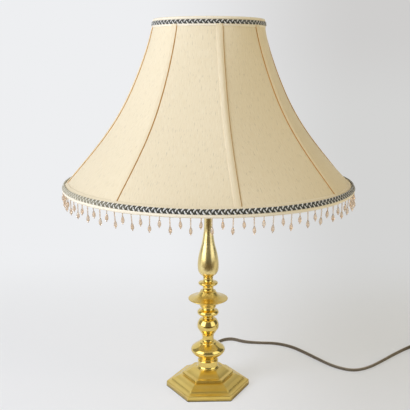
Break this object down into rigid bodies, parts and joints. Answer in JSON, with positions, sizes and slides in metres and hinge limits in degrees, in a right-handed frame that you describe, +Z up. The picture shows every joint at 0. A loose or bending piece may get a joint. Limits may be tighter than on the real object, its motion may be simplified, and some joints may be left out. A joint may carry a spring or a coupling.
{
  "type": "candle lamp with shade",
  "caption": "Turned brass candlestick table lamp on a stepped hexagonal foot, with a bell-shaped panelled fabric shade, plaited braid, beaded fringe and a mains cord.",
  "frame": {"origin": "on the table, under the middle of the hexagonal foot and on the stem's axis", "axes": "+Z up along the stem; -Y is the front, the side that a flat of the foot faces in the picture; +X to the right, where the cord runs"},
  "size_m": [0.6643, 0.411, 0.5366],
  "materials": {
    "turned_brass": "polished and lacquered, a soft gold shine with fine turning lines",
    "felt": "dense green felt",
    "plated_steel": "zinc plated",
    "holder_brass": "bright lacquered brass",
    "holder_insulator": "moulded dark brown, glossy",
    "bulb_cap_metal": "bare metal",
    "bulb_insulator_glass": "black vitreous",
    "pearl_glass": "frosted inside, almost opaque white",
    "clear_glass": "clear",
    "tungsten": "dull grey wire",
    "cream_fabric": "cream slubbed cloth with a soft matt sheen",
    "lining_fabric": "pale smooth lining cloth",
    "braid_yarn": "dark plait with silvery threads",
    "glass_beads": "clear pale amber glass",
    "brown_flex": "brown smooth sheath",
    "core_insulation": "smooth",
    "tie_fabric": "woven strap",
    "pin_brass": "bare metal"
  },
  "bodies": {
    "stand": {"base_foot": "turned_brass", "base_collar": "turned_brass", "lower_knop": "turned_brass", "baluster": "turned_brass", "ring_spool": "turned_brass", "drip_pan": "turned_brass", "upper_spool": "turned_brass", "vase_stem": "turned_brass", "felt_pad": "felt", "base_washer": "plated_steel", "base_nut": "plated_steel", "threaded_tube": "plated_steel", "holder_lock_nut": "plated_steel", "terminal_screws": "plated_steel", "holder_cap": "holder_brass", "holder_skirt": "holder_brass", "screw_shell": "holder_brass", "centre_contact": "holder_brass", "holder_insert": "holder_insulator", "cord_run": "brown_flex", "cord_coil": "brown_flex", "cord_tail": "brown_flex", "inner_flex": "brown_flex", "plug_body": "brown_flex", "cord_bush": "brown_flex", "core_wires": "core_insulation", "coil_tie": "tie_fabric", "plug_pins": "pin_brass"},
    "switch": {"switch_bar": "holder_insulator"},
    "shade": {"bottom_ring_wire": "plated_steel", "top_ring_wire": "plated_steel", "shade_ribs": "plated_steel", "fitter_ring": "plated_steel", "fitter_arms": "plated_steel", "shade_panel_1": "cream_fabric", "shade_panel_2": "cream_fabric", "shade_panel_3": "cream_fabric", "shade_panel_4": "cream_fabric", "shade_panel_5": "cream_fabric", "shade_panel_6": "cream_fabric", "shade_panel_7": "cream_fabric", "shade_panel_8": "cream_fabric", "seam_folds": "cream_fabric", "hem_binding": "cream_fabric", "top_binding": "cream_fabric", "shade_lining": "lining_fabric", "bottom_braid": "braid_yarn", "top_braid": "braid_yarn", "fringe_seed_beads": "glass_beads", "fringe_drop_beads": "glass_beads", "fringe_end_beads": "glass_beads"},
    "clamp_ring": {"shade_ring": "holder_brass"},
    "bulb": {"bulb_cap": "bulb_cap_metal", "bulb_tip": "bulb_cap_metal", "bulb_insulator": "bulb_insulator_glass", "bulb_glass": "pearl_glass", "filament_mount": "clear_glass", "filament": "tungsten"}
  },
  "joints": [
    {"name": "switch_push", "type": "slide", "parent": "stand", "child": "switch", "axis": [-1, 0, 0], "range_m": [0, 0.005]},
    {"name": "shade_turn", "type": "hinge", "parent": "stand", "child": "shade", "pos_m": [0, 0, 0.3872], "axis": [0, 0, 1], "continuous": true},
    {"name": "clamp_ring_unscrew", "type": "hinge", "parent": "stand", "child": "clamp_ring", "pos_m": [0, 0, 0.3914], "axis": [0, 0, 1], "range_deg": [0, 1080]},
    {"name": "bulb_unscrew", "type": "hinge", "parent": "stand", "child": "bulb", "pos_m": [0, 0, 0.397], "axis": [0, 0, 1], "range_deg": [0, 1260]}
  ]
}
